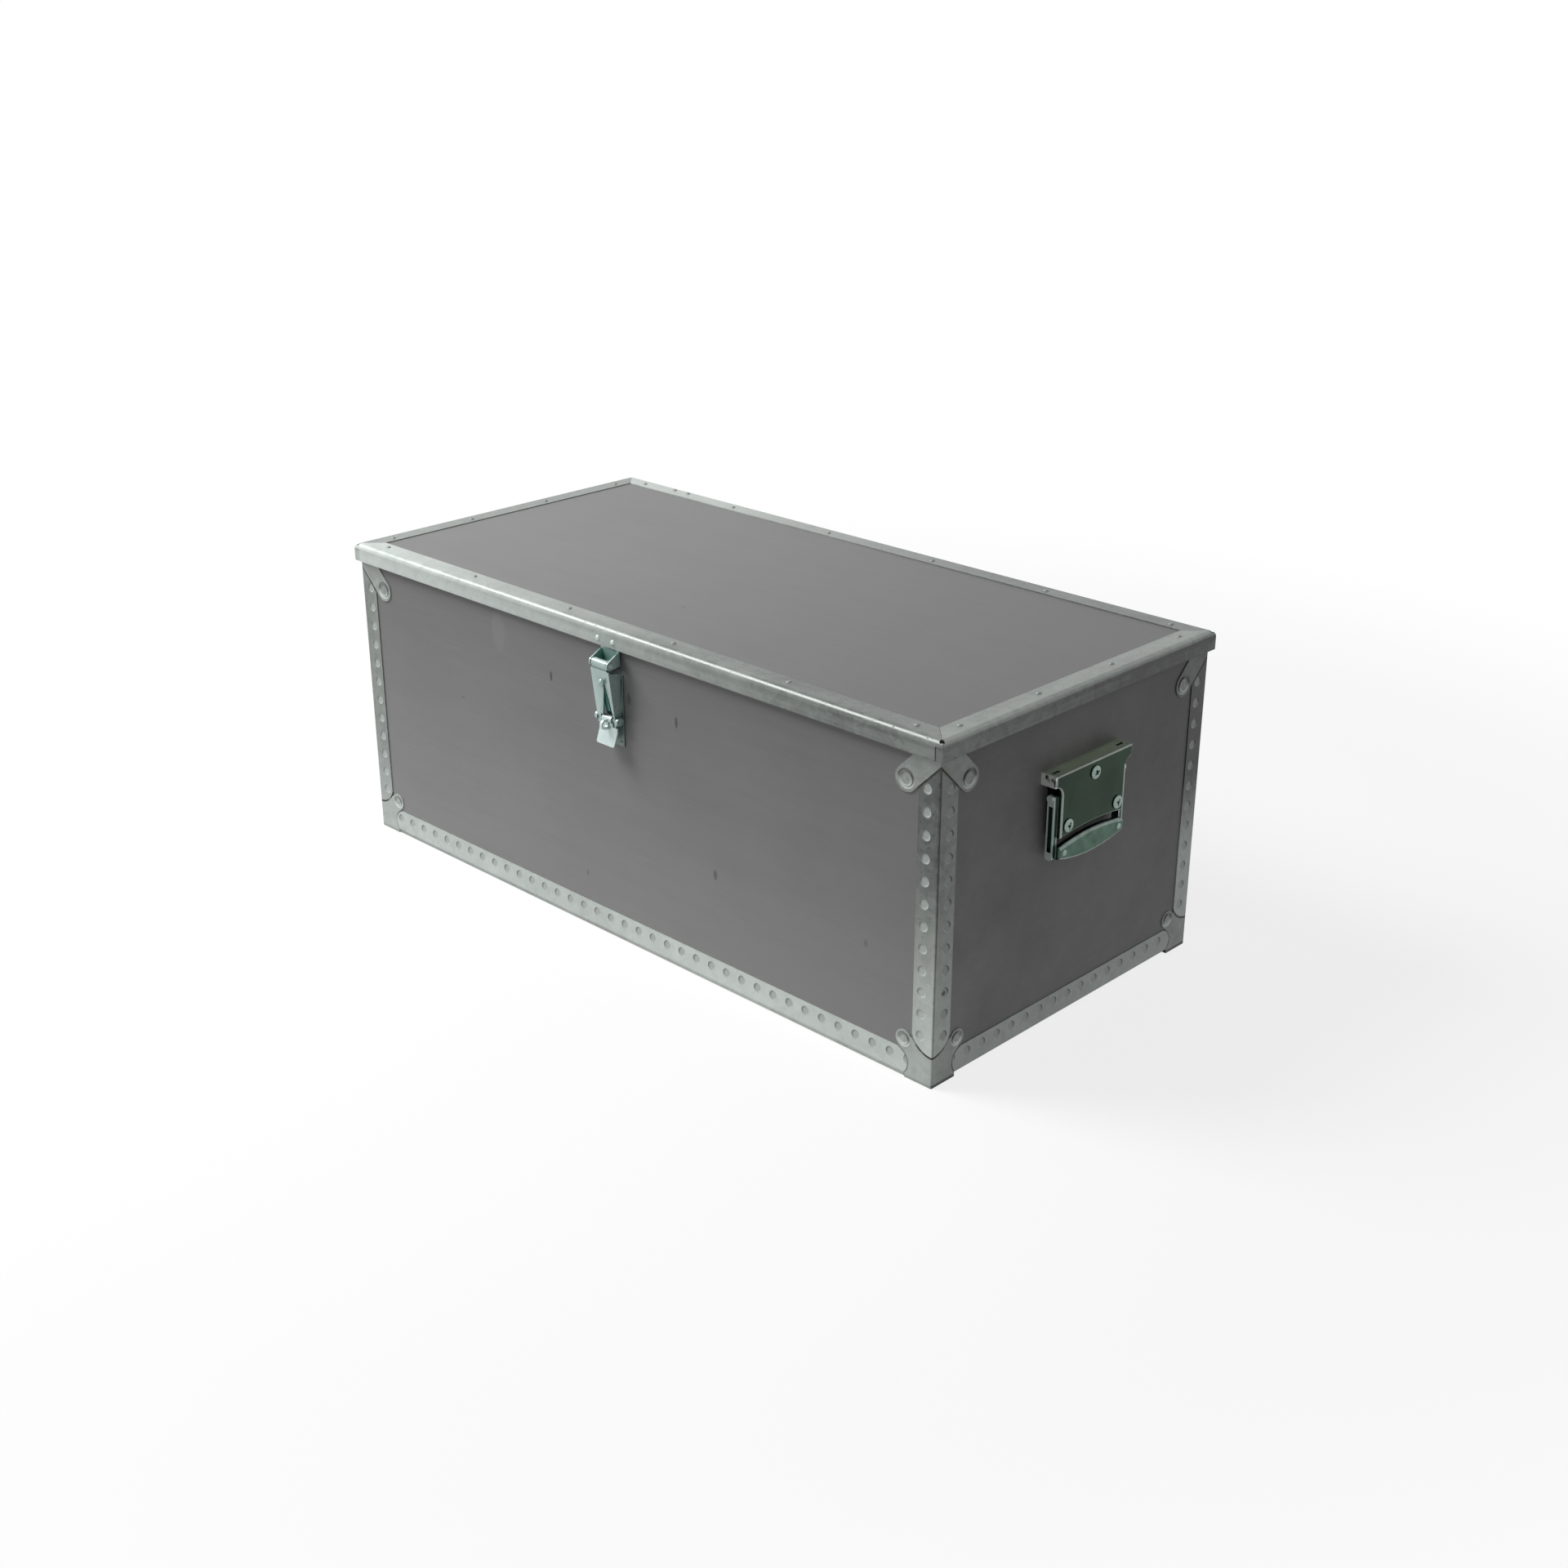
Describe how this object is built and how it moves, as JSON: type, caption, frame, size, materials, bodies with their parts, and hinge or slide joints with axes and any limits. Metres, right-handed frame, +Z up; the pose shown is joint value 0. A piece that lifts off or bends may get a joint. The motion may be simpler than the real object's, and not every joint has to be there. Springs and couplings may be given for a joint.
{
  "type": "transport case",
  "caption": "long plywood transport case with pressed steel edge strips, riveted corner caps, a flat hinged lid, a lever latch in front and drop handles on the ends",
  "frame": {"origin": "middle of the footprint on the floor", "axes": "+X along the length to the right end, -Y out of the latch face, +Z up"},
  "size_m": [0.8368, 0.4117, 0.3256],
  "materials": {
    "film_ply": "grey phenolic film on plywood, satin",
    "galvanised_strip": "galvanised sheet steel, semi-matt",
    "zinc_fitting": "bright zinc-plated sheet steel",
    "zinc_fastener": "zinc-plated steel"
  },
  "bodies": {
    "case": {"back_panel": "film_ply", "bottom_corner_back_left": "galvanised_strip", "bottom_corner_back_right": "galvanised_strip", "bottom_corner_front_left": "galvanised_strip", "bottom_corner_front_right": "galvanised_strip", "bottom_edge_back": "galvanised_strip", "bottom_edge_front": "galvanised_strip", "bottom_edge_left": "galvanised_strip", "bottom_edge_right": "galvanised_strip", "bottom_panel": "film_ply", "corner_edge_back_left": "galvanised_strip", "corner_edge_back_right": "galvanised_strip", "corner_edge_front_left": "galvanised_strip", "corner_edge_front_right": "galvanised_strip", "corner_rivets": "zinc_fastener", "front_panel": "film_ply", "handle_cover_left": "zinc_fitting", "handle_cover_right": "zinc_fitting", "handle_pin_left": "zinc_fastener", "handle_pin_right": "zinc_fastener", "handle_screws": "zinc_fastener", "hinge_case_rivets": "zinc_fastener", "hinge_leaf_case_left": "zinc_fitting", "hinge_leaf_case_right": "zinc_fitting", "hinge_pin_left": "zinc_fastener", "hinge_pin_right": "zinc_fastener", "latch_base": "zinc_fitting", "latch_base_rivets": "zinc_fastener", "left_panel": "film_ply", "right_panel": "film_ply", "top_corner_back_left": "galvanised_strip", "top_corner_back_right": "galvanised_strip", "top_corner_front_left": "galvanised_strip", "top_corner_front_right": "galvanised_strip"},
    "lid": {"hasp_pin": "zinc_fastener", "hinge_leaf_lid_left": "zinc_fitting", "hinge_leaf_lid_right": "zinc_fitting", "hinge_lid_rivets": "zinc_fastener", "latch_bracket": "zinc_fitting", "latch_bracket_rivets": "zinc_fastener", "lid_edge_back": "galvanised_strip", "lid_edge_front": "galvanised_strip", "lid_edge_left": "galvanised_strip", "lid_edge_right": "galvanised_strip", "lid_panel": "film_ply", "lid_rivets": "zinc_fastener"},
    "hasp": {"latch_hasp": "zinc_fitting", "latch_spring": "zinc_fitting", "latch_dome_rivet": "zinc_fastener", "lever_pin": "zinc_fastener"},
    "lever": {"latch_lever": "zinc_fitting", "padlock_eye": "zinc_fitting"},
    "left_bail": {"handle_arm_front_left": "zinc_fitting", "handle_arm_back_left": "zinc_fitting", "handle_grip_left": "zinc_fitting"},
    "right_bail": {"handle_arm_front_right": "zinc_fitting", "handle_arm_back_right": "zinc_fitting", "handle_grip_right": "zinc_fitting"}
  },
  "joints": [
    {"name": "lid_hinge", "type": "hinge", "parent": "case", "child": "lid", "pos_m": [0, 0.19875, 0.2997], "axis": [-1, 0, 0], "range_deg": [0, 105]},
    {"name": "hasp_swing", "type": "hinge", "parent": "lid", "child": "hasp", "pos_m": [0, -0.205, 0.293], "axis": [-1, 0, 0], "range_deg": [0, 120]},
    {"name": "lever_turn", "type": "hinge", "parent": "hasp", "child": "lever", "pos_m": [0, -0.198, 0.2365], "axis": [-1, 0, 0], "range_deg": [-14, 60]},
    {"name": "right_bail_swing", "type": "hinge", "parent": "case", "child": "right_bail", "pos_m": [0.408, 0, 0.232], "axis": [0, -1, 0], "range_deg": [0, 90]},
    {"name": "left_bail_swing", "type": "hinge", "parent": "case", "child": "left_bail", "pos_m": [-0.408, 0, 0.232], "axis": [0, 1, 0], "range_deg": [0, 90]}
  ]
}
